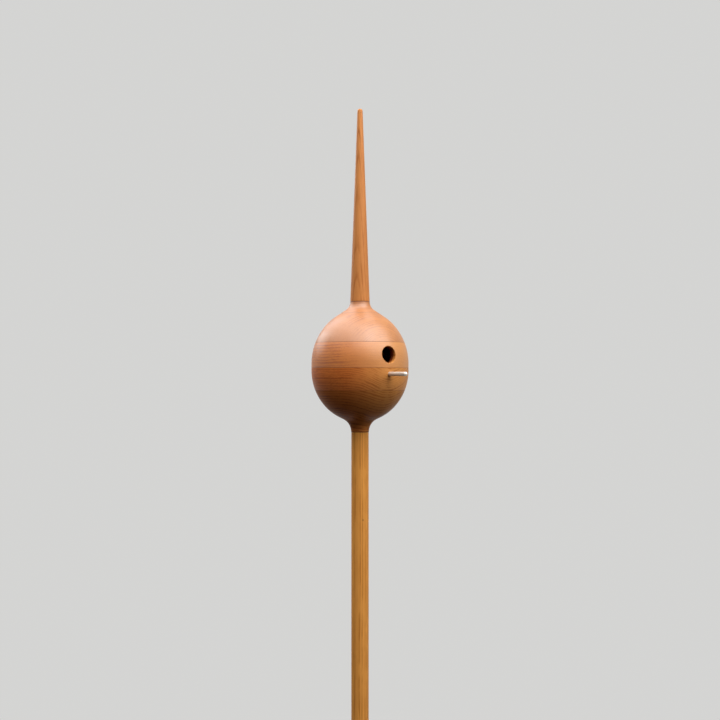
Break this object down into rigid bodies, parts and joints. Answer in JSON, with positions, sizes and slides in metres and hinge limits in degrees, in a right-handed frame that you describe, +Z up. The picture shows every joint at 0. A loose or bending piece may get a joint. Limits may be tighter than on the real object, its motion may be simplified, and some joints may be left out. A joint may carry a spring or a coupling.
{
  "type": "nest box on a pole",
  "caption": "Egg-shaped hollow nest box of turned wood on a round pole, with a round entrance, a steel perch peg and a long tapered spire.",
  "frame": {"origin": "middle of the pole's foot face, at ground level", "axes": "+Z up along the pole, the egg and the spire; the entrance and the perch face -Y"},
  "size_m": [0.19, 0.2418, 2.034],
  "materials": {
    "egg_wood": "satin",
    "spire_wood": "satin",
    "pole_wood": "satin",
    "perch_steel": "brushed"
  },
  "bodies": {
    "root": {"pole": "pole_wood", "bowl": "egg_wood", "perch_ring": "egg_wood", "entrance_ring": "egg_wood", "dome": "egg_wood", "neck_cap": "egg_wood", "spire": "spire_wood", "perch": "perch_steel"}
  },
  "joints": []
}
